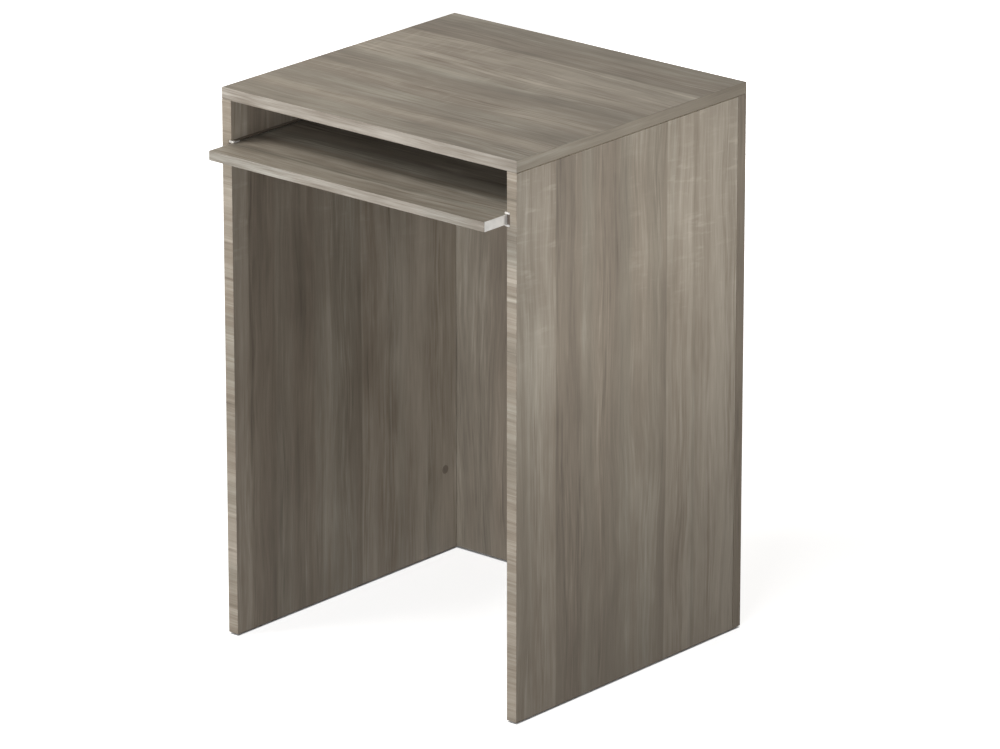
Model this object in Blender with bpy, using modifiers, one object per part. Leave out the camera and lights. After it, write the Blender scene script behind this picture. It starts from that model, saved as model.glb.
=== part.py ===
"""Bay cabinet with a pull-out shelf under its top.

Metres, +Z up, front towards -Y, floor at Z = 0. The origin is the centre of the whole
footprint, with the shelf pulled out as far as shelf_pull says.
"""

from collections import namedtuple

import bmesh
import bpy
from mathutils import Matrix, Vector

# Carcass
cabinet_width = 0.695
cabinet_depth = 0.638
cabinet_height = 1.050
board_thick = 0.022
edging_thick = 0.001
seam = 0.0003  # gap between two pieces that meet, glued or running
overrun = 0.002  # how far a cutter runs past the face that it opens

# Notch at the foot of the back panel
notch_width = 0.300
notch_height = 0.120
notch_corner = 0.030

# Pull-out shelf
shelf_thick = 0.018
shelf_space = 0.0792  # clear height between shelf and top
shelf_side_gap = 0.0005
shelf_rear_space = 0.076
shelf_travel = 0.300
shelf_pull = 0.060

# Guide channels, let into the side panels
guide_height = 0.027
guide_wall = 0.0015
guide_let_in = 0.0062
guide_lap = 0.0055  # how far the flanges reach over the shelf's edge
guide_tail = 0.020  # channel behind the closing bumper

# Guide shoes, stops and bumpers in the channels
shoe_nose = 0.0045  # the part of a shoe that caps the channel's front end
shoe_window = 0.0055  # how far back the shoe's web is left out
shoe_length = 0.017
shoe_wall = 0.0012
stop_length = 0.008
stop_height = 0.016
peg_radius = 0.0027
peg_root = 0.0005

# Rollers at the shelf's rear corners
roller_inset = 0.020
roller_width = 0.004
roller_chamfer = 0.0004
roller_sink = 0.0017
axle_head_radius = 0.0045
axle_head_height = 0.0012
axle_radius = 0.0025
axle_thread_radius = 0.0020
axle_thread_length = 0.020

# Countersunk screws of the channels
screw_head_radius = 0.0032
screw_head_height = 0.0013
screw_sink = 0.0001
screw_radius = 0.0016
screw_length = 0.0125
screw_point = 0.0030

# Cam fittings and dowels
cam_radius = 0.0075
cam_depth = 0.0155
cam_inset = 0.034
cam_recess_length = 0.0060
cam_recess_width = 0.0022
cam_recess_depth = 0.0025
bolt_head_radius = 0.0033
bolt_head_height = 0.0025
bolt_neck_radius = 0.0020
bolt_neck_length = 0.0050
bolt_radius = 0.0035
bolt_thread_radius = 0.0025
bolt_thread_length = 0.0110
dowel_radius = 0.004
dowel_length = 0.030
dowel_chamfer = 0.0008

# Nail-on floor glides
glide_radius = 0.009
glide_height = 0.003
glide_chamfer = 0.0006
glide_inset = 0.045
nail_radius = 0.0010
nail_length = 0.015
nail_point = 0.0020

# Where the fittings sit, as shares of the edge that holds them
top_cam_shares = {"front": 0.16, "rear": 0.80}
top_dowel_share = 0.46
back_cam_shares = {"low": 0.16, "high": 0.78}
back_dowel_share = 0.46
back_top_dowel_share = 0.55
guide_screw_shares = {"front": 0.12, "middle": 0.60, "rear": 0.98}

# Sides of the round shapes, and how they are welded and shaded
roller_sides = 32
round_sides = 16
small_sides = 12
notch_steps = 6
weld_distance = 0.00005
sharp_angle = 0.6

# Places worked out from the sizes
front_y = shelf_pull - (cabinet_depth + shelf_pull) / 2
back_y = front_y + cabinet_depth
back_front_y = back_y - board_thick
foot_z = glide_height + seam
top_under_z = cabinet_height - board_thick
panel_top_z = top_under_z - seam
outer_x = cabinet_width / 2
inner_x = outer_x - board_thick
side_front_y = front_y + edging_thick + seam
side_back_y = back_front_y - seam

shelf_x = inner_x - shelf_side_gap
shelf_top_z = top_under_z - shelf_space
shelf_z = shelf_top_z - shelf_thick / 2
shelf_under_z = shelf_top_z - shelf_thick
shelf_depth = cabinet_depth - board_thick - shelf_rear_space
shelf_front_y = front_y - shelf_pull
shelf_back_y = shelf_front_y + shelf_depth

guide_back_x = inner_x + guide_let_in
guide_web_x = guide_back_x - guide_wall
guide_tip_x = inner_x - guide_lap
guide_front_y = front_y + shoe_nose + seam
flange_half = guide_height / 2 - guide_wall
roller_radius = flange_half - seam
roller_closed = shelf_depth - roller_inset
stop_back = roller_closed - shelf_travel - roller_radius - seam
bumper_front = roller_closed + roller_radius + seam
guide_length = bumper_front + stop_length + guide_tail
shoe_back_x = guide_web_x - seam
shoe_tip_x = guide_tip_x + seam
nose_back_x = guide_back_x - seam
nose_half = guide_height / 2 - seam
stop_x = shelf_x + 2 * seam

# Screws stand in the channel's free stretches, and pegs hold what is clipped into it
guide_screw_places = {name: share * guide_length for name, share in guide_screw_shares.items()}
peg_places = {
    "shoe": (shoe_window + shoe_length) / 2,
    "stop": stop_back - stop_length / 2,
    "bumper": bumper_front + stop_length / 2,
}

SIDES = (("left", -1), ("right", 1))
UP = Vector((0, 0, 1))
REARWARD = Vector((0, 1, 0))

# A cam bolt or dowel: its place on the joint between two panels, the direction into the
# panel that it ends in, and the direction out of the first panel's inner face
Fitting = namedtuple("Fitting", "name carrier point toward room")


def collection_named(name):
    """A new collection in the scene."""
    collection = bpy.data.collections.new(name)
    bpy.context.scene.collection.children.link(collection)
    return collection


def finish(name, colour, roughness, metallic=0.0):
    """A plain material with the piece's colour and gloss."""
    material = bpy.data.materials.new(name)
    material.use_nodes = True
    shader = material.node_tree.nodes["Principled BSDF"]
    shader.inputs["Base Color"].default_value = (*colour, 1.0)
    shader.inputs["Roughness"].default_value = roughness
    shader.inputs["Metallic"].default_value = metallic
    material.diffuse_color = (*colour, 1.0)
    return material


def piece(name, mesh, material):
    """A part of the cabinet, in its own named object."""
    obj = bpy.data.objects.new(name, mesh)
    parts.objects.link(obj)
    obj.data.materials.clear()
    obj.data.materials.append(material)
    return obj


def cutter(name, mesh):
    """A helper that cuts or joins, and isn't itself a part."""
    obj = bpy.data.objects.new(name, mesh)
    cutters.objects.link(obj)
    obj.hide_render = True
    obj.display_type = "WIRE"
    return obj


def combine(target, other, operation="DIFFERENCE"):
    """Boolean of a part and a helper."""
    modifier = target.modifiers.new(other.name, "BOOLEAN")
    modifier.operation = operation
    modifier.solver = "EXACT"
    modifier.object = other


def box_mesh(size):
    """A box of this size, centred on its own origin."""
    mesh = bpy.data.meshes.new("box")
    shape = bmesh.new()
    bmesh.ops.create_cube(shape, size=1, matrix=Matrix.Diagonal((*size, 1)))
    shape.to_mesh(mesh)
    shape.free()
    return mesh


def span(low, high):
    """Size and centre of the box between two opposite corners, given in any order."""
    size = [abs(b - a) for a, b in zip(low, high)]
    centre = [(a + b) / 2 for a, b in zip(low, high)]
    return size, centre


def box_piece(name, low, high, material):
    """A box-shaped part between two opposite corners."""
    size, centre = span(low, high)
    obj = piece(name, box_mesh(size), material)
    obj.location = centre
    return obj


def box_cutter(name, low, high):
    """A box-shaped helper between two opposite corners."""
    size, centre = span(low, high)
    obj = cutter(name, box_mesh(size))
    obj.location = centre
    return obj


def rod_mesh(radius, length, sides):
    """A round rod that stands on its own origin, along +Z."""
    mesh = bpy.data.meshes.new("rod")
    shape = bmesh.new()
    bmesh.ops.create_cone(
        shape,
        cap_ends=True,
        segments=sides,
        radius1=radius,
        radius2=radius,
        depth=length,
        matrix=Matrix.Translation((0, 0, length / 2)),
    )
    shape.to_mesh(mesh)
    shape.free()
    return mesh


def turned_mesh(profile, sides, ring=False):
    """A profile of (radius, height) points turned about Z, from the top down its outer side."""
    outline = bpy.data.meshes.new("outline")
    shape = bmesh.new()
    corners = [shape.verts.new((radius, 0, height)) for radius, height in profile]
    for start, end in zip(corners, corners[1:]):
        shape.edges.new((start, end))
    if ring:
        shape.edges.new((corners[-1], corners[0]))
    shape.to_mesh(outline)
    shape.free()
    turned = cutter("turned", outline)
    screw = turned.modifiers.new("turn", "SCREW")
    screw.steps = sides
    screw.render_steps = sides
    screw.use_merge_vertices = True
    screw.merge_threshold = weld_distance
    return settled_mesh(turned)


def settled_mesh(obj):
    """The mesh that an object's modifiers give, taken off it, with the object removed."""
    graph = bpy.context.evaluated_depsgraph_get()
    graph.update()
    mesh = bpy.data.meshes.new_from_object(obj.evaluated_get(graph))
    bpy.data.objects.remove(obj)
    return mesh


def facing(origin, along, across):
    """A placement with Z along one direction and X across it."""
    z_axis = Vector(along)
    x_axis = Vector(across)
    y_axis = z_axis.cross(x_axis)
    turn = Matrix((x_axis, y_axis, z_axis)).transposed()
    return Matrix.Translation(origin) @ turn.to_4x4()


def repeated_mesh(shapes):
    """One mesh of separate solids, from (mesh, placement) pairs."""
    joined = bmesh.new()
    for mesh, placement in shapes:
        known = len(joined.verts)
        joined.from_mesh(mesh)
        joined.verts.ensure_lookup_table()
        bmesh.ops.transform(joined, matrix=placement, verts=joined.verts[known:])
    result = bpy.data.meshes.new("repeated")
    joined.to_mesh(result)
    joined.free()
    return result


def smooth(obj):
    """Smooth shading on round faces, with sharp arrises kept."""
    obj.data.shade_smooth()
    obj.data.set_sharp_from_angle(angle=sharp_angle)


def side_mid_x(sign):
    """The middle of a side panel's thickness."""
    return sign * (outer_x - board_thick / 2)


def corner_fittings(kind, top_shares, back_shares):
    """Fittings in the top edge and the rear edge of both side panels."""
    depth = side_back_y - front_y
    height = panel_top_z - foot_z
    found = []
    for side, sign in SIDES:
        room = Vector((-sign, 0, 0))
        for place, share in top_shares.items():
            point = Vector((side_mid_x(sign), front_y + share * depth, top_under_z))
            found.append(Fitting(f"{kind}_{side}_{place}", side, point, UP, room))
        for place, share in back_shares.items():
            point = Vector((side_mid_x(sign), back_front_y, foot_z + share * height))
            found.append(Fitting(f"{kind}_{side}_{place}", side, point, REARWARD, room))
    return found


def dowel_fittings():
    """Dowels of the side panels, and those in the back panel's top edge."""
    found = corner_fittings("dowel", {"top": top_dowel_share}, {"back": back_dowel_share})
    mid_y = back_y - board_thick / 2
    for side, sign in SIDES:
        point = Vector((sign * back_top_dowel_share * inner_x, mid_y, top_under_z))
        found.append(Fitting(f"dowel_back_{side}", "back", point, UP, -REARWARD))
    return found


def glide_places(sign):
    """Centres of the floor glides under a side panel, by name."""
    return {
        "front": Vector((side_mid_x(sign), front_y + glide_inset, 0)),
        "rear": Vector((side_mid_x(sign), back_front_y - glide_inset, 0)),
    }


def edge_bores(carrier):
    """Bores for cam bolts and dowels in the edges of the panel that they start in."""
    bolt_bore = rod_mesh(bolt_radius + seam, overrun + cam_inset, small_sides)
    dowel_bore = rod_mesh(dowel_radius + seam, overrun + dowel_length / 2 + seam, small_sides)
    shapes = []
    for bore, fittings in ((bolt_bore, cams), (dowel_bore, dowels)):
        for item in fittings:
            if item.carrier == carrier:
                mouth = item.point + item.toward * overrun
                shapes.append((bore, facing(mouth, -item.toward, item.room)))
    return cutter(f"edge_bores_{carrier}", repeated_mesh(shapes))


def cam_face(item):
    """Where a cam lock's face lies: its placement has Z into the room and X towards the joint."""
    centre = item.point - item.toward * cam_inset + item.room * (board_thick / 2)
    return facing(centre, item.room, item.toward)


def cam_bores(carrier):
    """Round pockets for the cam locks in the inner face of the panel that carries them."""
    pocket = rod_mesh(cam_radius + seam, overrun + cam_depth + seam, round_sides)
    sink = Matrix.Translation((0, 0, -cam_depth - seam))
    shapes = [(pocket, cam_face(item) @ sink) for item in cams if item.carrier == carrier]
    return cutter(f"cam_bores_{carrier}", repeated_mesh(shapes))


def face_bores(name, direction):
    """Blind bores for bolt threads and dowels in the face that the other panels' edges meet."""
    thread_bore = rod_mesh(bolt_thread_radius + seam, overrun + bolt_thread_length + seam, small_sides)
    dowel_bore = rod_mesh(dowel_radius + seam, overrun + dowel_length / 2 + seam, small_sides)
    shapes = []
    for bore, fittings in ((thread_bore, cams), (dowel_bore, dowels)):
        for item in fittings:
            if item.toward == direction:
                mouth = item.point - item.toward * overrun
                shapes.append((bore, facing(mouth, item.toward, item.room)))
    return cutter(name, repeated_mesh(shapes))


def nail_bores(side, sign):
    """Holes for the glides' nails in the bottom edge of a side panel."""
    bore = rod_mesh(nail_radius + seam, overrun + nail_length + seam, small_sides)
    start = Vector((0, 0, foot_z - overrun))
    shapes = [(bore, Matrix.Translation(place + start)) for place in glide_places(sign).values()]
    return cutter(f"nail_bores_{side}", repeated_mesh(shapes))


def in_guide(sign, x, place):
    """A place along a guide channel, measured from the front, with Z pointing outwards."""
    return facing(Vector((sign * x, front_y + place, shelf_z)), Vector((sign, 0, 0)), UP)


def along_guide(name, mesh, sign, x, places):
    """A cutter with this mesh at each of the places along a guide channel."""
    return cutter(name, repeated_mesh([(mesh, in_guide(sign, x, place)) for place in places.values()]))


def build_side_panels():
    """Side panels with a front edging strip, a guide groove, and the bores of their fittings."""
    pilot = rod_mesh(screw_radius + seam, overrun + screw_length, small_sides)
    groove_half = guide_height / 2 + seam
    for side, sign in SIDES:
        panel = box_piece(
            f"side_panel_{side}",
            (sign * inner_x, side_front_y, foot_z),
            (sign * outer_x, side_back_y, panel_top_z),
            decor,
        )
        strip = box_piece(
            f"side_edging_{side}",
            (sign * inner_x, front_y, foot_z),
            (sign * outer_x, front_y + edging_thick, panel_top_z),
            edging,
        )
        groove = box_cutter(
            f"guide_groove_{side}",
            (sign * (inner_x - overrun), front_y - overrun, shelf_z - groove_half),
            (sign * (guide_back_x + seam), front_y + guide_length + seam, shelf_z + groove_half),
        )
        pilots = along_guide(
            f"guide_pilots_{side}", pilot, sign, guide_back_x + seam - overrun, guide_screw_places
        )
        combine(strip, groove)
        for helper in (groove, pilots, edge_bores(side), cam_bores(side), nail_bores(side, sign)):
            combine(panel, helper)


def build_top():
    """Top panel that covers sides and back, edged all round."""
    core_x = outer_x - edging_thick - seam
    core_front_y = front_y + edging_thick + seam
    core_back_y = back_y - edging_thick - seam
    panel = box_piece(
        "top_panel",
        (-core_x, core_front_y, top_under_z),
        (core_x, core_back_y, cabinet_height),
        decor,
    )
    combine(panel, face_bores("top_bores", UP))
    for name, near_y, far_y in (
        ("front", front_y, front_y + edging_thick),
        ("rear", back_y - edging_thick, back_y),
    ):
        box_piece(
            f"top_edging_{name}",
            (-outer_x, near_y, top_under_z),
            (outer_x, far_y, cabinet_height),
            edging,
        )
    for side, sign in SIDES:
        box_piece(
            f"top_edging_{side}",
            (sign * (outer_x - edging_thick), core_front_y, top_under_z),
            (sign * outer_x, core_back_y, cabinet_height),
            edging,
        )


def build_back():
    """Back panel over the rear edges of the sides, with a rounded notch at the floor."""
    core_x = outer_x - edging_thick - seam
    panel = box_piece("back_panel", (-core_x, back_front_y, foot_z), (core_x, back_y, panel_top_z), decor)
    for side, sign in SIDES:
        box_piece(
            f"back_edging_{side}",
            (sign * (outer_x - edging_thick), back_front_y, foot_z),
            (sign * outer_x, back_y, panel_top_z),
            edging,
        )
    notch_low = (-notch_width / 2, back_front_y - overrun, -notch_corner)
    notch_high = (notch_width / 2, back_y + overrun, notch_height)
    size, centre = span(notch_low, notch_high)
    mesh = box_mesh(size)
    shape = bmesh.new()
    shape.from_mesh(mesh)
    through = [
        edge for edge in shape.edges if abs(edge.verts[0].co.y - edge.verts[1].co.y) > board_thick
    ]
    bmesh.ops.bevel(
        shape,
        geom=through,
        offset=notch_corner,
        segments=notch_steps,
        profile=0.5,
        affect="EDGES",
    )
    shape.to_mesh(mesh)
    shape.free()
    notch = cutter("hose_notch", mesh)
    notch.location = centre
    for helper in (notch, face_bores("back_bores", REARWARD), edge_bores("back")):
        combine(panel, helper)


def cam_lock_mesh():
    """A cam lock: its face at Z = 0, its body below, its mouth for the bolt towards +X."""
    body = rod_mesh(cam_radius, cam_depth, round_sides)
    body.transform(Matrix.Translation((0, 0, -cam_depth)))
    lock = cutter("cam_lock", body)
    head_room = bolt_head_height / 2 + seam
    mouth_length = cam_radius + head_room + overrun
    mouth = cutter("cam_mouth", rod_mesh(bolt_head_radius + seam, mouth_length, small_sides))
    mouth.matrix_world = facing(Vector((-head_room, 0, -board_thick / 2)), Vector((1, 0, 0)), REARWARD)
    combine(lock, mouth)
    helpers = [mouth]
    for name, size_x, size_y in (
        ("slot_along", cam_recess_length, cam_recess_width),
        ("slot_across", cam_recess_width, cam_recess_length),
    ):
        slot = box_cutter(
            name,
            (-size_x / 2, -size_y / 2, -cam_recess_depth),
            (size_x / 2, size_y / 2, overrun),
        )
        combine(lock, slot)
        helpers.append(slot)
    mesh = settled_mesh(lock)
    for helper in helpers:
        bpy.data.objects.remove(helper)
    return mesh


def build_fittings():
    """Cam locks, cam bolts and dowels that join the panels."""
    lock_mesh = cam_lock_mesh()
    bolt_end = -cam_inset - bolt_head_height / 2
    neck_end = bolt_end + bolt_head_height
    shaft_end = neck_end + bolt_neck_length
    bolt_mesh = turned_mesh(
        (
            (0, bolt_thread_length),
            (bolt_thread_radius, bolt_thread_length),
            (bolt_thread_radius, 0),
            (bolt_radius, 0),
            (bolt_radius, shaft_end),
            (bolt_neck_radius, shaft_end),
            (bolt_neck_radius, neck_end),
            (bolt_head_radius, neck_end),
            (bolt_head_radius, bolt_end),
            (0, bolt_end),
        ),
        small_sides,
    )
    half = dowel_length / 2
    dowel_mesh = turned_mesh(
        (
            (0, half),
            (dowel_radius - dowel_chamfer, half),
            (dowel_radius, half - dowel_chamfer),
            (dowel_radius, dowel_chamfer - half),
            (dowel_radius - dowel_chamfer, -half),
            (0, -half),
        ),
        small_sides,
    )
    for item in cams:
        lock = piece(item.name, lock_mesh, zinc)
        lock.matrix_world = cam_face(item)
        bolt = piece(item.name.replace("cam_lock", "cam_bolt"), bolt_mesh, steel)
        bolt.matrix_world = facing(item.point, item.toward, item.room)
        smooth(bolt)
    for item in dowels:
        dowel = piece(item.name, dowel_mesh, beech)
        dowel.matrix_world = facing(item.point, item.toward, item.room)
        smooth(dowel)


def screw_mesh():
    """A countersunk screw that points along +Z, with its head flush at Z = 0."""
    return turned_mesh(
        (
            (0, screw_length),
            (screw_radius, screw_length - screw_point),
            (screw_radius, screw_head_height),
            (screw_head_radius, 0),
            (0, 0),
        ),
        small_sides,
    )


def screw_hole_mesh():
    """The countersunk hole for such a screw through the web of a channel."""
    head = screw_head_radius + seam
    shank = screw_radius + seam
    return turned_mesh(
        (
            (0, guide_wall + overrun),
            (shank, guide_wall + overrun),
            (shank, screw_head_height + seam),
            (head, 0),
            (head, -overrun),
            (0, -overrun),
        ),
        small_sides,
    )


def build_shoe(side, sign):
    """A guide shoe: lips that cap the channel's flanges, and a lining behind them for the shelf."""
    shoe = box_piece(
        f"guide_shoe_{side}",
        (sign * shoe_tip_x, front_y + shoe_nose / 2, shelf_z - roller_radius),
        (sign * shoe_back_x, front_y + shoe_length, shelf_z + roller_radius),
        nylon,
    )
    nose = box_cutter(
        f"shoe_nose_{side}",
        (sign * shoe_tip_x, front_y, shelf_z - nose_half),
        (sign * nose_back_x, front_y + shoe_nose, shelf_z + nose_half),
    )
    shelf_slot = box_cutter(
        f"shelf_slot_{side}",
        (sign * (guide_tip_x - overrun), front_y - overrun, shelf_under_z - seam),
        (sign * (shoe_back_x - shoe_wall), front_y + shoe_length + overrun, shelf_top_z + seam),
    )
    window = box_cutter(
        f"shoe_window_{side}",
        (sign * (guide_tip_x - overrun), front_y - overrun, shelf_under_z - seam),
        (sign * (guide_back_x + overrun), front_y + shoe_window, shelf_top_z + seam),
    )
    combine(shoe, nose, "UNION")
    combine(shoe, window)
    combine(shoe, shelf_slot)
    return shoe


def build_guides():
    """Guide channels, with the shoe, the stop and the bumper that are pegged into them."""
    screw_shape = screw_mesh()
    hole = screw_hole_mesh()
    peg_hole = rod_mesh(peg_radius + seam, guide_wall + 2 * overrun, small_sides)
    peg_shape = rod_mesh(peg_radius, peg_root + seam + guide_wall, small_sides)
    for side, sign in SIDES:
        channel = box_piece(
            f"guide_channel_{side}",
            (sign * guide_tip_x, guide_front_y, shelf_z - guide_height / 2),
            (sign * guide_back_x, front_y + guide_length, shelf_z + guide_height / 2),
            brown_steel,
        )
        slot = box_cutter(
            f"guide_slot_{side}",
            (sign * (guide_tip_x - overrun), guide_front_y - overrun, shelf_z - flange_half),
            (sign * guide_web_x, front_y + guide_length + overrun, shelf_z + flange_half),
        )
        holes = along_guide(f"guide_holes_{side}", hole, sign, guide_web_x, guide_screw_places)
        peg_holes = along_guide(f"peg_holes_{side}", peg_hole, sign, guide_web_x - overrun, peg_places)
        for helper in (slot, holes, peg_holes):
            combine(channel, helper)
        for name, place in guide_screw_places.items():
            screw = piece(f"guide_screw_{side}_{name}", screw_shape, steel)
            screw.matrix_world = in_guide(sign, guide_web_x + screw_sink, place)
            smooth(screw)
        shoe = build_shoe(side, sign)
        stop = box_piece(
            f"pull_out_stop_{side}",
            (sign * stop_x, front_y + stop_back - stop_length, shelf_z - stop_height / 2),
            (sign * shoe_back_x, front_y + stop_back, shelf_z + stop_height / 2),
            nylon,
        )
        bumper = box_piece(
            f"closing_bumper_{side}",
            (sign * stop_x, front_y + bumper_front, shelf_z - stop_height / 2),
            (sign * shoe_back_x, front_y + bumper_front + stop_length, shelf_z + stop_height / 2),
            rubber,
        )
        for block, (name, place) in zip((shoe, stop, bumper), peg_places.items()):
            peg = cutter(f"{name}_peg_{side}", peg_shape)
            peg.matrix_world = in_guide(sign, shoe_back_x - peg_root, place)
            combine(block, peg, "UNION")


def build_shelf():
    """Pull-out shelf with its edging strips, on an empty that slides along Y."""
    slide = bpy.data.objects.new("shelf_slide", None)
    parts.objects.link(slide)
    slide.location = (0, shelf_front_y, shelf_z)
    core_x = shelf_x - edging_thick - seam
    core_front_y = shelf_front_y + edging_thick + seam
    axle_y = shelf_back_y - roller_inset
    pilot = rod_mesh(axle_thread_radius + seam, overrun + axle_thread_length, small_sides)
    board = box_piece(
        "shelf_board",
        (-core_x, core_front_y, shelf_under_z),
        (core_x, shelf_back_y, shelf_top_z),
        decor,
    )
    front_strip = box_piece(
        "shelf_edging_front",
        (-shelf_x, shelf_front_y, shelf_under_z),
        (shelf_x, shelf_front_y + edging_thick, shelf_top_z),
        edging,
    )
    pieces = [board, front_strip]
    for side, sign in SIDES:
        strip = box_piece(
            f"shelf_edging_{side}",
            (sign * (shelf_x - edging_thick), core_front_y, shelf_under_z),
            (sign * shelf_x, shelf_back_y, shelf_top_z),
            white_plastic,
        )
        mouth = Vector((sign * (shelf_x + overrun), axle_y, shelf_z))
        bore = cutter(f"axle_bore_{side}", pilot)
        bore.matrix_world = facing(mouth, Vector((-sign, 0, 0)), UP)
        combine(board, bore)
        combine(strip, bore)
        pieces.append(strip)
    for item in pieces:
        item.location -= slide.location
        item.parent = slide
    return slide


def build_rollers(slide):
    """Rollers that run in the channels, each on a shoulder screw in the shelf's rear corner."""
    gap = 2 * seam
    floor_z = roller_width - roller_sink
    roller_mesh = turned_mesh(
        (
            (axle_head_radius + seam, roller_width),
            (roller_radius - roller_chamfer, roller_width),
            (roller_radius, roller_width - roller_chamfer),
            (roller_radius, roller_chamfer),
            (roller_radius - roller_chamfer, 0),
            (axle_radius + seam, 0),
            (axle_radius + seam, floor_z),
            (axle_head_radius + seam, floor_z),
        ),
        roller_sides,
        ring=True,
    )
    head_z = gap + floor_z + seam
    axle_mesh = turned_mesh(
        (
            (0, head_z + axle_head_height),
            (axle_head_radius, head_z + axle_head_height),
            (axle_head_radius, head_z),
            (axle_radius, head_z),
            (axle_radius, seam),
            (axle_thread_radius, seam),
            (axle_thread_radius, -axle_thread_length + overrun),
            (0, -axle_thread_length + seam),
        ),
        round_sides,
    )
    axle_y = shelf_back_y - roller_inset
    for side, sign in SIDES:
        outward = Vector((sign, 0, 0))
        roller = piece(f"shelf_roller_{side}", roller_mesh, nylon)
        axle = piece(f"roller_axle_{side}", axle_mesh, steel)
        for item, x in ((roller, shelf_x + gap), (axle, shelf_x)):
            smooth(item)
            item.matrix_world = facing(Vector((sign * x, axle_y, shelf_z)), outward, UP)
            item.location -= slide.location
            item.parent = slide


def build_glides():
    """Floor glides under the side panels, each moulded onto its nail."""
    nail_top = foot_z + nail_length
    glide_mesh = turned_mesh(
        (
            (0, nail_top),
            (nail_radius, nail_top - nail_point),
            (nail_radius, glide_height),
            (glide_radius, glide_height),
            (glide_radius, glide_chamfer),
            (glide_radius - glide_chamfer, 0),
            (0, 0),
        ),
        round_sides,
    )
    for side, sign in SIDES:
        for name, place in glide_places(sign).items():
            glide = piece(f"floor_glide_{side}_{name}", glide_mesh, glide_plastic)
            glide.location = place
            smooth(glide)


for old in list(bpy.data.objects):
    bpy.data.objects.remove(old)

parts = collection_named("bay_cabinet")
cutters = collection_named("bay_cabinet_cutters")

decor = finish("oak_decor", (0.270, 0.232, 0.188), 0.55)
edging = finish("oak_edging", (0.350, 0.305, 0.250), 0.50)
white_plastic = finish("white_edging", (0.640, 0.625, 0.590), 0.45)
brown_steel = finish("brown_steel", (0.125, 0.102, 0.076), 0.50)
nylon = finish("white_nylon", (0.680, 0.665, 0.630), 0.45)
rubber = finish("grey_rubber", (0.120, 0.120, 0.120), 0.80)
zinc = finish("zinc", (0.520, 0.520, 0.510), 0.40, 1.0)
steel = finish("plated_steel", (0.600, 0.600, 0.590), 0.35, 1.0)
beech = finish("beech", (0.560, 0.400, 0.250), 0.70)
glide_plastic = finish("grey_glide", (0.100, 0.095, 0.090), 0.60)

cams = corner_fittings(
    "cam_lock",
    {f"top_{place}": share for place, share in top_cam_shares.items()},
    {f"back_{place}": share for place, share in back_cam_shares.items()},
)
dowels = dowel_fittings()

build_side_panels()
build_top()
build_back()
build_fittings()
build_guides()
build_rollers(build_shelf())
build_glides()
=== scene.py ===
"""The looks of a bay cabinet with a pull-out shelf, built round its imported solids."""

import math

import bmesh
import bpy
from mathutils import Matrix, Vector


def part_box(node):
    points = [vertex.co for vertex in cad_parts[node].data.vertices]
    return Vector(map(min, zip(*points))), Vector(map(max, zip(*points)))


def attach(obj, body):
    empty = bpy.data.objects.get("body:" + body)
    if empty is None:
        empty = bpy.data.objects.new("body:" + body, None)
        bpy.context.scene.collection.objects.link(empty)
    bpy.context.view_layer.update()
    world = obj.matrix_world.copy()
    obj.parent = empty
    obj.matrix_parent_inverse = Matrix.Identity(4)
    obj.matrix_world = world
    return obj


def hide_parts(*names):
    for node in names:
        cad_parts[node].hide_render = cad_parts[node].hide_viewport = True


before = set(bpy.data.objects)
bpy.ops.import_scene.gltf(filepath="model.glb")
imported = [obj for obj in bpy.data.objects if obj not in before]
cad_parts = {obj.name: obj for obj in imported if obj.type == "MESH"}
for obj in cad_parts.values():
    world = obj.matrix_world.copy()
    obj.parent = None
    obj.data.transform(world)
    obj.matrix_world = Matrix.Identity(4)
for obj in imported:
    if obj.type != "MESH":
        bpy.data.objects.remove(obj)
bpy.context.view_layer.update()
sides = (("left", -1), ("right", 1))

# The photograph looks down on the front right corner from far off, through a long lens.
# The place and the two angles follow from the corners of the cabinet in the picture.
picture_width = 1000
focal_length_pixels = 6854
sensor_width = 36
view_place = (7.701, -8.923, 4.557)
view_turn = 0.708
view_dip = 0.331
view_reach = 100

camera = bpy.data.objects.new("camera", bpy.data.cameras.new("camera"))
camera.data.sensor_width = sensor_width
camera.data.lens = sensor_width * focal_length_pixels / picture_width
camera.data.clip_end = view_reach
camera.location = view_place
camera.rotation_euler = (math.pi / 2 - view_dip, 0, view_turn)
bpy.context.scene.collection.objects.link(camera)
bpy.context.scene.camera = camera
bpy.context.scene.view_settings.view_transform = "Standard"


# Side panels: 22 mm chipboard faced on both sides with melamine paper that is printed as
# sawn oak, cut to size, grooved for the guides, and edged at the front with a 1 mm strip.
# The print shows flitches of unlike tone, long streaks, and saw marks across the grain.
X, Y, Z = 0, 1, 2
board_arris = 0.0003
board_least_edge = 0.05
strip_arris = 0.0006
strip_least_edge = 0.0005
arris_segments = 2
weld_distance = 0.00001
glue_gap = 0.0004
joint_shadow = 0.0007
flat_angle = math.radians(1)
sharp_bend = math.radians(50)
printed_slope = 0.3
print_dark = (0.100, 0.079, 0.060)
print_middle = (0.292, 0.246, 0.191)
print_light = (0.570, 0.512, 0.425)
print_colours = ((0.08, print_dark), (0.50, print_middle), (0.92, print_light))
print_specular = 0.35
dark_roughness = 0.64
light_roughness = 0.52
fine_reach = 0.2
relief_strength = 0.3
relief_depth = 0.0003
noise_middle = 0.5
streak_roughness = 0.55
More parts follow.
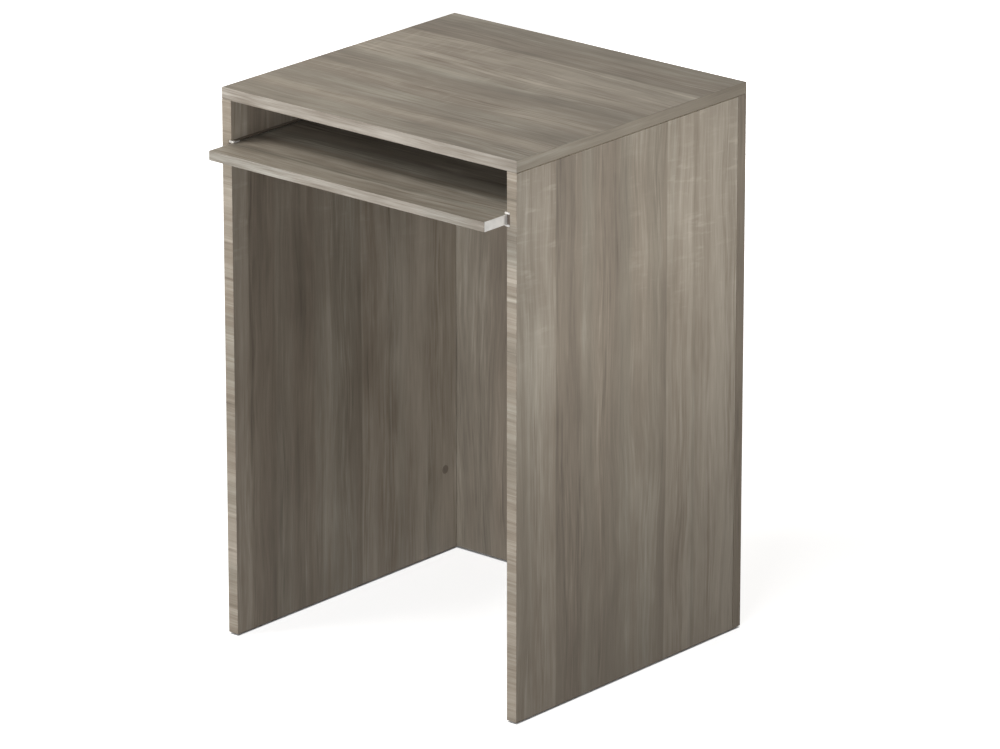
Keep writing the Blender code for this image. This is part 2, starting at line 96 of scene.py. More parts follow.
# A kind of streak: how often it changes in a metre along the grain and across it, its
# detail, and a number that sets its noise apart from that of the other kinds.
bend_streaks = (1.5, 4.0, 2, 0)
long_streaks = (1.9, 38.0, 3, 3)
fine_streaks = (8.0, 165.0, 4, 7)
hair_streaks = (20.0, 900.0, 2, 11)
broad_streaks = (4.0, 9.0, 3, 13)
saw_dabs = (75.0, 13.0, 3, 17)
sawn_patches = (17.0, 11.0, 2, 19)
cool_streaks = (0.8, 13.0, 1, 23)
lively_patches = (1.1, 26.0, 2, 29)
pore_streaks = (3.2, 105.0, 3, 31)
long_weight = 0.42
fine_weight = 0.70
hair_weight = 0.25
broad_weight = 0.42
board_bow = 0.014
strip_bow = 0.004
streak_bend = 4.0
lively_stops = ((0.0, 0.35), (0.1, 1.0))
pore_stops = ((0.08, 0.0), (0.20, 1.0))
pore_darkness = 0.11
saw_slant = 0.10
saw_brightness = 0.11
dab_stops = ((0.03, 0.0), (0.15, 1.0))
sawn_patch_stops = ((0.0, 0.35), (0.08, 1.0))
sawn_flitches = ((0.50, 0.2), (0.57, 1.0))
cool_tint = (0.967, 1.0, 1.011, 1)
cool_flitches = ((0.42, 0.0), (0.47, 1.0), (0.52, 1.0), (0.56, 0.0))
cool_drift = 3.0
chip_scale = 420.0
dust_scale = 900.0
chip_weight = 0.7
chip_colours = ((0.35, (0.30, 0.22, 0.14)), (1.0, (0.60, 0.49, 0.34)))
chip_roughness = 0.9
chip_relief = 0.5
chip_depth = 0.0005
side_seed = 5
side_flitches = (
    (0.00, 0.58),
    (0.05, 0.57),
    (0.175, 0.58),
    (0.18, 0.40),
    (0.285, 0.39),
    (0.295, 0.49),
    (0.36, 0.45),
    (0.40, 0.39),
    (0.45, 0.42),
    (0.52, 0.55),
    (0.62, 0.51),
    (0.67, 0.42),
    (0.675, 0.64),
    (0.69, 0.55),
    (0.79, 0.60),
    (0.80, 0.52),
    (0.82, 0.61),
    (0.96, 0.72),
    (1.00, 0.66),
)
side_saw = ((0.60, 0.0), (0.80, 1.0))
# The left print is shifted so that a dark flitch begins a little behind its front edge: painted
# shade of the bay on the left wall.
painted_shade_shift = {"left": 0.068, "right": 0.0}
side_front_tones = (
    (0.00, 0.60),
    (0.30, 0.59),
    (0.48, 0.53),
    (0.57, 0.50),
    (0.59, 0.42),
    (0.61, 0.55),
    (0.66, 0.53),
    (0.67, 0.43),
    (0.69, 0.54),
    (0.75, 0.57),
    (0.88, 0.54),
    (1.00, 0.56),
)


def add_node(tree, kind, inputs=None, **settings):
    """A shader node with its settings made, and its inputs linked or set."""
    node = tree.nodes.new(kind)
    for name, value in settings.items():
        setattr(node, name, value)
    for key, value in (inputs or {}).items():
        if isinstance(value, bpy.types.NodeSocket):
            tree.links.new(value, node.inputs[key])
        else:
            node.inputs[key].default_value = value
    return node


def worked(tree, operation, first, second):
    """The result of a sum on two sockets or numbers."""
    return add_node(tree, "ShaderNodeMath", {0: first, 1: second}, operation=operation).outputs[0]


def toned(tree, value, stops):
    """A colour or tone read off a row of (place, tone or colour) stops."""
    ramp = add_node(tree, "ShaderNodeValToRGB", {"Fac": value})
    while len(ramp.color_ramp.elements) < len(stops):
        ramp.color_ramp.elements.new(0.5)
    for element, (place, tone) in zip(ramp.color_ramp.elements, stops):
        element.position = place
        element.color = (*tone, 1) if isinstance(tone, tuple) else (tone, tone, tone, 1)
    return ramp.outputs["Color"]


def blended(tree, share, first, second, blend="MIX"):
    """Two colours blended by a share from 0 to 1."""
    node = add_node(
        tree, "ShaderNodeMix", {0: share, 6: first, 7: second}, data_type="RGBA", blend_type=blend
    )
    return node.outputs[2]


def streaks(tree, run, across, kind, seed):
    """Noise of one kind, drawn out along the grain, about zero."""
    run_scale, across_scale, detail, apart = kind
    place = add_node(
        tree,
        "ShaderNodeCombineXYZ",
        {
            0: worked(tree, "MULTIPLY", run, run_scale),
            1: worked(tree, "MULTIPLY", across, across_scale),
            2: seed + apart,
        },
    )
    noise = add_node(
        tree,
        "ShaderNodeTexNoise",
        {
            "Vector": place.outputs[0],
            "Scale": 1.0,
            "Detail": detail,
            "Roughness": streak_roughness,
        },
    )
    return worked(tree, "SUBTRACT", noise.outputs["Fac"], noise_middle)


def oak_print(
    name,
    along,
    across,
    low,
    high,
    flitches,
    seed,
    saw=None,
    bow=board_bow,
    laid=None,
    bold=1.0,
    tint=None,
):
    """Sawn-oak paper: its grain runs along one axis, its flitches lie from low to high.

    They lie side by side across the grain, or in the order of the axis laid. Their streaks
    bend by bow, and are as strong as bold says. Saw marks lie over the light flitches where
    the stops in saw say so, along the grain. Flitches of middle tone are cooler, and a tint
    can shift the whole print.
    """
    material = bpy.data.materials.new(name)
    material.use_nodes = True
    tree = material.node_tree
    surface = tree.nodes["Principled BSDF"]
    place = add_node(tree, "ShaderNodeTexCoord").outputs["Object"]
    axes = add_node(tree, "ShaderNodeSeparateXYZ", {0: place}).outputs
    run = axes[along]
    bend = worked(tree, "MULTIPLY", streaks(tree, run, axes[across], bend_streaks, seed), bow)
    edge = worked(tree, "ADD", axes[across], bend)
    width = worked(tree, "ADD", edge, worked(tree, "MULTIPLY", bend, streak_bend))

    share = add_node(
        tree,
        "ShaderNodeMapRange",
        {"Value": edge if laid is None else axes[laid], "From Min": low, "From Max": high},
    ).outputs[0]
    tone = flitch = toned(tree, share, flitches)
    lively = toned(tree, streaks(tree, run, width, lively_patches, seed), lively_stops)
    fine = streaks(tree, run, width, fine_streaks, seed)
    fine = worked(tree, "MULTIPLY", fine, lively)
    hair = streaks(tree, run, width, hair_streaks, seed)
    height = worked(tree, "ADD", fine, hair)
    for part, weight in (
        (streaks(tree, run, width, long_streaks, seed), long_weight),
        (fine, fine_weight),
        (hair, hair_weight),
        (streaks(tree, run, width, broad_streaks, seed), broad_weight),
    ):
        tone = worked(tree, "ADD", tone, worked(tree, "MULTIPLY", part, bold * weight))

    pores = toned(tree, streaks(tree, run, width, pore_streaks, seed), pore_stops)
    pores = worked(tree, "MULTIPLY", worked(tree, "MULTIPLY", pores, lively), pore_darkness)
    tone = worked(tree, "SUBTRACT", tone, pores)
    if saw:
        slant = worked(tree, "ADD", run, worked(tree, "MULTIPLY", axes[across], saw_slant))
        marks = toned(tree, streaks(tree, slant, axes[across], saw_dabs, seed), dab_stops)
        patch = toned(tree, streaks(tree, run, width, sawn_patches, seed), sawn_patch_stops)
        for mask in (patch, toned(tree, run, saw), toned(tree, flitch, sawn_flitches)):
            marks = worked(tree, "MULTIPLY", marks, mask)
        tone = worked(tree, "ADD", tone, worked(tree, "MULTIPLY", marks, saw_brightness))
        height = worked(tree, "ADD", height, marks)

    colour = toned(tree, tone, print_colours)
    drift = streaks(tree, run, edge, cool_streaks, seed)
    coolness = worked(
        tree,
        "ADD",
        toned(tree, flitch, cool_flitches),
        worked(tree, "MULTIPLY", drift, cool_drift),
    )
    cooler = blended(tree, 1.0, colour, cool_tint, "MULTIPLY")
    colour = blended(tree, coolness, colour, cooler)
    if tint:
        colour = blended(tree, 1.0, colour, tint, "MULTIPLY")
    tree.links.new(colour, surface.inputs["Base Color"])

    gloss = add_node(
        tree,
        "ShaderNodeMapRange",
        {
            "Value": fine,
            "From Min": -fine_reach,
            "From Max": fine_reach,
            "To Min": dark_roughness,
            "To Max": light_roughness,
        },
    )
    tree.links.new(gloss.outputs[0], surface.inputs["Roughness"])
    surface.inputs["Specular IOR Level"].default_value = print_specular
    relief = add_node(
        tree,
        "ShaderNodeBump",
        {"Height": height, "Strength": relief_strength, "Distance": relief_depth},
    )
    tree.links.new(relief.outputs[0], surface.inputs["Normal"])
    return material


def chipboard():
    """Bare sawn chipboard: pressed chips of unlike tone, with fine dust and pits between."""
    material = bpy.data.materials.new("chipboard")
    material.use_nodes = True
    tree = material.node_tree
    surface = tree.nodes["Principled BSDF"]
    place = add_node(tree, "ShaderNodeTexCoord").outputs["Object"]
    chips = add_node(tree, "ShaderNodeTexVoronoi", {"Vector": place, "Scale": chip_scale})
    dust = add_node(
        tree, "ShaderNodeTexNoise", {"Vector": place, "Scale": dust_scale, "Detail": 3}
    )
    tone = add_node(tree, "ShaderNodeSeparateXYZ", {0: chips.outputs["Color"]}).outputs[0]
    tone = worked(tree, "ADD", worked(tree, "MULTIPLY", tone, chip_weight), dust.outputs["Fac"])
    colour = toned(tree, tone, chip_colours)
    tree.links.new(colour, surface.inputs["Base Color"])
    surface.inputs["Roughness"].default_value = chip_roughness
    relief = add_node(
        tree,
        "ShaderNodeBump",
        {"Height": chips.outputs["Distance"], "Strength": chip_relief, "Distance": chip_depth},
    )
    tree.links.new(relief.outputs[0], surface.inputs["Normal"])
    return material


def merged_solid(node):
    """The shape of a solid, with its loose triangles merged into flat faces."""
    shape = bmesh.new()
    shape.from_mesh(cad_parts[node].data)
    bmesh.ops.remove_doubles(shape, verts=shape.verts, dist=weld_distance)
    bmesh.ops.dissolve_limit(
        shape, angle_limit=flat_angle, verts=shape.verts, edges=shape.edges
    )
    return shape


def fitted_piece(name, shape, body, node, slot, *materials):
    """A piece made of a finished shape, in place of a solid, that moves with a body."""
    mesh = bpy.data.meshes.new(name)
    shape.to_mesh(mesh)
    shape.free()
    obj = bpy.data.objects.new(name, mesh)
    bpy.context.scene.collection.objects.link(obj)
    for material in materials:
        mesh.materials.append(material)
    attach(obj, body)
    if node:
        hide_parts(node)
    return obj


def ease_arrises(shape, radius, shortest, glued=()):
    """Rounds the long outer arrises, and closes the shape up to the planes it is glued to."""
    for vert in shape.verts:
        for axis, plane in glued:
            if abs(vert.co[axis] - plane) < glue_gap:
                vert.co[axis] = plane
    arrises = [
        edge
        for edge in shape.edges
        if edge.is_manifold
        and edge.calc_length() > shortest
        and edge.calc_face_angle_signed() > sharp_bend
        and not any(
            all(abs(vert.co[axis] - plane) < weld_distance for vert in edge.verts)
            for axis, plane in glued
        )
    ]
    bmesh.ops.bevel(
        shape,
        geom=arrises,
        offset=radius,
        segments=arris_segments,
        profile=0.5,
        affect="EDGES",
        material=-1,
        clamp_overlap=True,
    )


def faced_board(name, node, body, faced, glued, print_material, joints=()):
    """A board with print on its two faces and bare chipboard on its other sides.

    Its cut edges at the planes in joints stand back a little, so that the joints show dark.
    """
    shape = merged_solid(node)
    for vert in shape.verts:
        for axis, plane in joints:
            if abs(vert.co[axis] - plane) < weld_distance:
                vert.co[axis] -= joint_shadow
    ease_arrises(shape, board_arris, board_least_edge, glued)
    shape.normal_update()
    for face in shape.faces:
        face.material_index = 0 if abs(face.normal[faced]) > printed_slope else 1
    return fitted_piece(name, shape, body, node, "oak_decor", print_material, bare_board)


def edging_strip(name, node, body, glued, material, slot="oak_edging"):
    """A 1 mm strip with its outer arrises scraped round, glued on at the given planes."""
    shape = merged_solid(node)
    ease_arrises(shape, strip_arris, strip_least_edge, glued)
    return fitted_piece(name, shape, body, node, slot, material)


cabinet_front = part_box("side_edging_left")[0].y
side_strip_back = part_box("side_edging_left")[1].y
side_rear, side_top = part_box("side_panel_left")[1].y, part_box("side_panel_left")[1].z
back_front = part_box("back_panel")[0].y
bare_board = chipboard()
side_front_print = oak_print(
    "side front print",
    X,
    Z,
    0,
    side_top,
    side_front_tones,
    seed=41,
    bow=strip_bow,
    bold=1.25,
)
for side, sign in sides:
    side_print = oak_print(
        f"side print {side}",
        Z,
        Y,
        cabinet_front - painted_shade_shift[side],
        back_front - painted_shade_shift[side],
        side_flitches,
        seed=side_seed + sign,
        saw=side_saw,
    )
    faced_board(
        f"side_board_{side}",
        f"side_panel_{side}",
        "cabinet",
        X,
        ((Y, side_strip_back),),
        side_print,
        ((Y, side_rear), (Z, side_top)),
    )
    edging_strip(
        f"side_front_strip_{side}",
        f"side_edging_{side}",
        "cabinet",
        ((Y, side_strip_back),),
        side_front_print,
    )


# Top panel: the same board with its grain along the width, laid over the sides and the back.
# All four edges carry a strip, and the printed face ends at the strips' rounded arrises.
top_flitches = (
    (0.00, 0.49),
    (0.08, 0.48),
    (0.12, 0.58),
    (0.16, 0.54),
    (0.20, 0.49),
    (0.27, 0.52),
    (0.33, 0.57),
    (0.38, 0.55),
    (0.44, 0.45),
    (0.47, 0.44),
    (0.52, 0.55),
    (0.60, 0.61),
    (0.72, 0.65),
    (0.795, 0.65),
    (0.805, 0.44),
    (0.90, 0.45),
    (1.00, 0.54),
)
top_saw = ((0.0, 0.7), (0.15, 0.3))
top_front_tones = ((0.0, 0.70), (0.45, 0.56), (0.6, 0.62), (0.85, 0.68), (1.0, 0.66))
width_strip_tint = (0.965, 1.0, 1.06, 1)
# The top's side strips grow darker towards the rear: painted shade of light that falls from the
# front.
top_side_shaded_tones = ((0.0, 0.51), (0.6, 0.50), (0.8, 0.44), (1.0, 0.42))
top_strip_inner_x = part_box("top_edging_right")[0].x
top_strip_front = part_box("top_edging_front")[1].y
top_strip_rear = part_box("top_edging_rear")[0].y
cabinet_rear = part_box("top_edging_rear")[1].y
top_glued = (
    (X, top_strip_inner_x),
    (X, -top_strip_inner_x),
    (Y, top_strip_front),
    (Y, top_strip_rear),
)
top_print = oak_print(
    "top print", X, Y, cabinet_front, cabinet_rear, top_flitches, seed=61, saw=top_saw, bold=1.3
)
top_front_print = oak_print(
    "top front print",
    X,
    Z,
    -top_strip_inner_x,
    top_strip_inner_x,
    top_front_tones,
    seed=47,
    bow=strip_bow,
    laid=X,
    bold=1.8,
    tint=width_strip_tint,
)
top_side_print = oak_print(
    "top side print",
    Y,
    Z,
    cabinet_front,
    cabinet_rear,
    top_side_shaded_tones,
    seed=53,
    bow=strip_bow,
    laid=Y,
)
faced_board("top_board", "top_panel", "cabinet", Z, top_glued, top_print)
for place, strip_print in (
    ("front", top_front_print),
    ("rear", top_front_print),
    ("left", top_side_print),
    ("right", top_side_print),
):
    edging_strip(f"top_strip_{place}", f"top_edging_{place}", "cabinet", top_glued, strip_print)


# Back panel: the same board with upright grain, held to the rear edges of the sides by cams.
# Its upright edges carry strips, and its foot is notched for hoses and left bare there.
back_flitches = ((0.0, 0.50), (0.2, 0.42), (0.45, 0.56), (0.5, 0.44), (0.8, 0.52), (1.0, 0.46))
back_side_tones = ((0.0, 0.41), (1.0, 0.41))
back_strip_inner_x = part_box("back_edging_right")[0].x
back_glued = ((X, back_strip_inner_x), (X, -back_strip_inner_x))
back_print = oak_print(
    "back print", Z, X, -back_strip_inner_x, back_strip_inner_x, back_flitches, seed=71
)
back_side_print = oak_print(
    "back side print", Z, Y, 0, side_top, back_side_tones, seed=59, bow=strip_bow, laid=Z
)
faced_board("back_board", "back_panel", "cabinet", Y, back_glued, back_print)
for side, _ in sides:
    edging_strip(
        f"back_strip_{side}", f"back_edging_{side}", "cabinet", back_glued, back_side_print
    )


# Pull-out shelf: 18 mm board with its grain along the width, printed like the top. Its front
# edge has a printed strip, its side edges run in the guides and have plain white strips.
shelf_flitches = (
    (0.00, 0.53),
    (0.04, 0.54),
    (0.07, 0.60),
    (0.09, 0.61),
    (0.105, 0.49),
    (0.13, 0.57),
    (0.20, 0.56),
    (0.235, 0.41),
    (0.25, 0.47),
    (0.27, 0.54),
    (0.31, 0.49),
    (0.34, 0.41),
    (0.70, 0.415),
    (1.00, 0.38),
)
shelf_tint = (0.98, 1.015, 1.05, 1)
shelf_front_tones = ((0.0, 0.48), (0.5, 0.60), (0.75, 0.56), (1.0, 0.42))
white_plastic = (0.820, 0.800, 0.755)
cloud_dark = 0.88
cloud_light = 1.06
cloud_stops = (0.3, 0.7)
cloud_width = 12
moulded_depth = 0.0002
shelf_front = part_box("shelf_edging_front")[0].y
shelf_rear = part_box("shelf_board")[1].y
shelf_strip_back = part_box("shelf_edging_front")[1].y
shelf_strip_inner_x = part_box("shelf_edging_right")[0].x
shelf_glued = ((Y, shelf_strip_back), (X, shelf_strip_inner_x), (X, -shelf_strip_inner_x))


def moulded(name, colour, roughness, scale, relief):
    """A one-colour surface with the faint cloudiness and grain of a moulding or a coat.

    Scale is how often the grain changes in a metre. The clouds are wider by cloud_width.
    """
    material = bpy.data.materials.new(name)
    material.use_nodes = True
    tree = material.node_tree
    surface = tree.nodes["Principled BSDF"]
    place = add_node(tree, "ShaderNodeTexCoord").outputs["Object"]
    cloud = add_node(
        tree, "ShaderNodeTexNoise", {"Vector": place, "Scale": scale / cloud_width, "Detail": 3}
    )
    grain = add_node(tree, "ShaderNodeTexNoise", {"Vector": place, "Scale": scale, "Detail": 2})
    darker = tuple(cloud_dark * part for part in colour)
    lighter = tuple(cloud_light * part for part in colour)
    tint = toned(tree, cloud.outputs["Fac"], tuple(zip(cloud_stops, (darker, lighter))))
    tree.links.new(tint, surface.inputs["Base Color"])
    surface.inputs["Roughness"].default_value = roughness
    bump = add_node(
        tree,
        "ShaderNodeBump",
        {"Height": grain.outputs["Fac"], "Strength": relief, "Distance": moulded_depth},
    )
    tree.links.new(bump.outputs[0], surface.inputs["Normal"])
    return material


shelf_print = oak_print(
    "shelf print",
    X,
    Y,
    shelf_front,
    shelf_rear,
    shelf_flitches,
    seed=83,
    bold=1.4,
    tint=shelf_tint,
)
shelf_front_print = oak_print(
    "shelf front print",
    X,
    Z,
    -shelf_strip_inner_x,
    shelf_strip_inner_x,
    shelf_front_tones,
    seed=97,
    bow=strip_bow,
    laid=X,
    bold=1.8,
    tint=width_strip_tint,
)
white_strip = moulded("white strip", white_plastic, roughness=0.45, scale=700.0, relief=0.15)
faced_board("shelf_plate", "shelf_board", "shelf", Z, shelf_glued, shelf_print)
edging_strip("shelf_strip_front", "shelf_edging_front", "shelf", shelf_glued, shelf_front_print)
for side, _ in sides:
    edging_strip(
        f"shelf_strip_{side}",
        f"shelf_edging_{side}",
        "shelf",
        shelf_glued,
        white_strip,
        "white_edging",
    )


# Cam fittings of the corner joints: die-cast locks in the sides draw in bolts from the top and
# the back, and grooved beech dowels keep the boards in line. A moulded cap covers each lock
# on the side's inner face.
bright_metal = (0.62, 0.61, 0.59)
dull_metal = (0.46, 0.46, 0.45)
metal_grain = 900.0
metal_relief = 0.12
wear_scale = 160.0
most_gloss = 0.7
least_gloss = 1.3
beech_colours = ((0.3, (0.50, 0.33, 0.19)), (0.7, (0.74, 0.55, 0.36)))
beech_scale = 500.0
beech_roughness = 0.7
cap_colour = (0.255, 0.215, 0.173)
cap_radius = 0.0085
cap_height = 0.0008
cap_arris = 0.0003
cap_sides = 32


def metal(name, colour, roughness):
    """Plated or cast metal with a faint grain and uneven gloss."""
    material = moulded(name, colour, roughness, metal_grain, metal_relief)
    tree = material.node_tree
    surface = tree.nodes["Principled BSDF"]
    surface.inputs["Metallic"].default_value = 1.0
    place = add_node(tree, "ShaderNodeTexCoord").outputs["Object"]
    wear = add_node(
        tree, "ShaderNodeTexNoise", {"Vector": place, "Scale": wear_scale, "Detail": 4}
    )
    gloss = add_node(
        tree,
        "ShaderNodeMapRange",
        {
            "Value": wear.outputs["Fac"],
            "To Min": most_gloss * roughness,
            "To Max": least_gloss * roughness,
        },
    )
    tree.links.new(gloss.outputs[0], surface.inputs["Roughness"])
    return material


def coated(node, material):
    """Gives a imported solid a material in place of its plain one."""
    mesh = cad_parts[node].data
    mesh.materials.clear()
    mesh.materials.append(material)


def beech():
    """Pale steamed beech with short fine flecks."""
    material = bpy.data.materials.new("beech")
    material.use_nodes = True
    tree = material.node_tree
    surface = tree.nodes["Principled BSDF"]
    place = add_node(tree, "ShaderNodeTexCoord").outputs["Object"]
    fleck = add_node(
        tree, "ShaderNodeTexNoise", {"Vector": place, "Scale": beech_scale, "Detail": 3}
    )
    tint = toned(tree, fleck.outputs["Fac"], beech_colours)
    tree.links.new(tint, surface.inputs["Base Color"])
    surface.inputs["Roughness"].default_value = beech_roughness
    return material


def inner_face_x(side, sign):
    """How far the inner face of a side panel lies from the cabinet's middle."""
    return abs(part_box(f"side_panel_{side}")[1 if sign < 0 else 0].x)


cast_zinc = metal("cast zinc", dull_metal, roughness=0.5)
plated = metal("plated steel", bright_metal, roughness=0.3)
dowel_wood = beech()
cap_plastic = moulded("cap plastic", cap_colour, roughness=0.55, scale=900.0, relief=0.25)
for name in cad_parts:
    if name.startswith("cam_lock"):
        coated(name, cast_zinc)
    elif name.startswith("cam_bolt"):
        coated(name, plated)
    elif name.startswith("dowel"):
        coated(name, dowel_wood)
for side, sign in sides:
    cap_x = sign * (inner_face_x(side, sign) - cap_height / 2)
    for place in ("top_front", "top_rear", "back_low", "back_high"):
        lock_low, lock_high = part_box(f"cam_lock_{side}_{place}")
        centre = (lock_low + lock_high) / 2
        shape = bmesh.new()
        bmesh.ops.create_cone(
            shape,
            cap_ends=True,
            segments=cap_sides,
            radius1=cap_radius,
            radius2=cap_radius,
            depth=cap_height,
            matrix=Matrix.Rotation(math.pi / 2, 4, "Y"),
        )
        ease_arrises(shape, cap_arris, strip_least_edge)
        bmesh.ops.translate(shape, verts=shape.verts, vec=(cap_x, centre.y, centre.z))
        fitted_piece(
            f"cover_cap_{side}_{place}", shape, "cabinet", None, "oak_edging", cap_plastic
        )


# Guides: roll-formed channels with a brown coat, screwed into grooves in the sides. A white
# nylon shoe caps each front end, and shows the channel's turned-in end between its lips. That
# end fills the mouth, and its coat is darker than the channel's as painted shade of the mouth.
# A stop and a rubber bumper are pegged in further back.
channel_brown = (0.165, 0.135, 0.103)
# The turned-in end is coloured darker than the channel's coat: painted shade of the guide's
# mouth.
tab_shade_brown = (0.095, 0.074, 0.057)
rubber_grey = (0.030, 0.030, 0.030)
nylon_white = (0.740, 0.715, 0.670)
channel_arris = 0.0004
channel_least_edge = 0.10
shoe_arris = 0.0005
block_arris = 0.0008
block_least_edge = 0.0030
tab_thick = 0.0012
tab_gap = 0.0003
tab_arris = 0.0002
turned_steps = 48
soft_bend = math.radians(30)
recess_reach = 0.0020
recess_cells = 3
recess_taper = 0.75
recess_depth = 0.0009
screw_head_radius = 0.0032
screw_head_height = 0.0013
screw_head_land = 0.0002
screw_radius = 0.0016
screw_length = 0.0125
screw_point = 0.0030
guide_screw_outline = (
    (0, screw_head_radius),
    (-screw_head_land, screw_head_radius),
    (-screw_head_height, screw_radius),
    (screw_point - screw_length, screw_radius),
    (-screw_length, 0),
)


def eased_piece(name, node, body, radius, shortest, slot, material):
    """A solid with its outer arrises rounded, save those under a shortest length."""
    shape = merged_solid(node)
    ease_arrises(shape, radius, shortest)
    return fitted_piece(name, shape, body, node, slot, material)


def turned(points, ring=False):
    """A shape turned about the X axis from a row of (along, radius) points."""
    shape = bmesh.new()
    row = [shape.verts.new((along, 0, radius)) for along, radius in points]
    edges = [shape.edges.new(pair) for pair in zip(row, row[1:])]
    if ring:
        edges.append(shape.edges.new((row[-1], row[0])))
    bmesh.ops.spin(
        shape,
        geom=row + edges,
        cent=(0, 0, 0),
        axis=(1, 0, 0),
        angle=math.tau,
        steps=turned_steps,
        use_merge=True,
    )
    bmesh.ops.remove_doubles(shape, verts=shape.verts, dist=weld_distance)
    return shape


def screw_with_cross(name, points, node, facing, body):
    """A turned screw whose flat head, at X 0, gets a tapered cross recess.

    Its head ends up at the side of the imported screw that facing, -1 or 1, says.
    """
    shape = turned(points)
    rim = [edge for edge in shape.edges if edge.is_boundary]
    grid = bmesh.ops.create_grid(
        shape,
        x_segments=recess_cells,
        y_segments=recess_cells,
        size=recess_reach,
        matrix=Matrix.Rotation(math.pi / 2, 4, "Y"),
    )
    faces = {face for vert in grid["verts"] for face in vert.link_faces}
    corners = []
    for face in faces:
        middle = face.calc_center_median()
        if min(abs(middle.y), abs(middle.z)) > recess_reach / recess_cells:
            corners.append(face)
    cross = list(faces.difference(corners))
    bmesh.ops.delete(shape, geom=corners, context="FACES")
    cross_edges = {edge for face in cross for edge in face.edges}
    outline = [edge for edge in cross_edges if edge.is_boundary]
    bmesh.ops.triangle_fill(shape, edges=rim + outline, use_beauty=True, normal=(1, 0, 0))
    sunk = bmesh.ops.extrude_face_region(shape, geom=cross)
    floor_verts = [item for item in sunk["geom"] if isinstance(item, bmesh.types.BMVert)]
    bmesh.ops.scale(shape, verts=floor_verts, vec=(1, recess_taper, recess_taper))
    bmesh.ops.translate(shape, verts=floor_verts, vec=(-recess_depth, 0, 0))
    bmesh.ops.delete(shape, geom=cross, context="FACES_ONLY")
    bmesh.ops.recalc_face_normals(shape, faces=shape.faces)
    if facing < 0:
        bmesh.ops.rotate(shape, verts=shape.verts, matrix=Matrix.Rotation(math.pi, 3, "Z"))
    node_low, node_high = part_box(node)
    place = (node_low + node_high) / 2
    place.x = node_high.x if facing > 0 else node_low.x
    bmesh.ops.translate(shape, verts=shape.verts, vec=place)
    screw = fitted_piece(name, shape, body, node, "plated_steel", plated)
    screw.data.shade_smooth()
    screw.data.set_sharp_from_angle(angle=soft_bend)


def turned_in_end(side, sign):
    """The channel's front end, an L seen from above, as high as the shelf's side strip."""
    channel_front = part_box(f"guide_channel_{side}")[0].y
    shoe_low, shoe_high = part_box(f"guide_shoe_{side}")
    strip_low, strip_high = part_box(f"shelf_edging_{side}")
    tab_inner = inner_face_x(side, sign) + tab_gap
    tab_outer = max(abs(shoe_low.x), abs(shoe_high.x))
    tab_front = shoe_low.y + tab_gap
    shape = bmesh.new()
    outline = shape.faces.new(
        shape.verts.new((sign * across, along, strip_low.z))
        for across, along in (
            (tab_inner, tab_front),
            (tab_outer, tab_front),
            (tab_outer, channel_front),
            (tab_outer - tab_thick, channel_front),
            (tab_outer - tab_thick, tab_front + tab_thick),
            (tab_inner, tab_front + tab_thick),
        )
    )
    risen = bmesh.ops.extrude_face_region(shape, geom=[outline], use_keep_orig=True)
    bmesh.ops.translate(
        shape,
        verts=[item for item in risen["geom"] if isinstance(item, bmesh.types.BMVert)],
        vec=(0, 0, strip_high.z - strip_low.z),
    )
    bmesh.ops.recalc_face_normals(shape, faces=shape.faces)
    ease_arrises(shape, tab_arris, block_least_edge)
    # The end's darker coat is painted shade of the guide's mouth.
    fitted_piece(f"guide_end_{side}", shape, "cabinet", None, "brown_steel", tab_shade_coat)


channel_coat = moulded("channel coat", channel_brown, roughness=0.45, scale=600.0, relief=0.2)
# A darker copy of the channel's coat, as painted shade of the guide's mouth.
tab_shade_coat = moulded("tab shade coat", tab_shade_brown, roughness=0.55, scale=600.0, relief=0.2)
nylon = moulded("white nylon", nylon_white, roughness=0.42, scale=500.0, relief=0.12)
rubber = moulded("grey rubber", rubber_grey, roughness=0.8, scale=800.0, relief=0.3)
for side, sign in sides:
    eased_piece(
        f"guide_rail_{side}",
        f"guide_channel_{side}",
        "cabinet",
        channel_arris,
        channel_least_edge,
        "brown_steel",
        channel_coat,
    )
    turned_in_end(side, sign)
    for name, node, arris, slot, material in (
        ("nylon_shoe", "guide_shoe", shoe_arris, "white_nylon", nylon),
        ("stop_block", "pull_out_stop", block_arris, "white_nylon", nylon),
        ("bumper_block", "closing_bumper", block_arris, "grey_rubber", rubber),
    ):
        eased_piece(
            f"{name}_{side}",
            f"{node}_{side}",
            "cabinet",
            arris,
            block_least_edge,
            slot,
            material,
        )
    for place in ("front", "middle", "rear"):
        screw_with_cross(
            f"crosshead_screw_{side}_{place}",
            guide_screw_outline,
            f"guide_screw_{side}_{place}",
            -sign,
            "cabinet",
        )


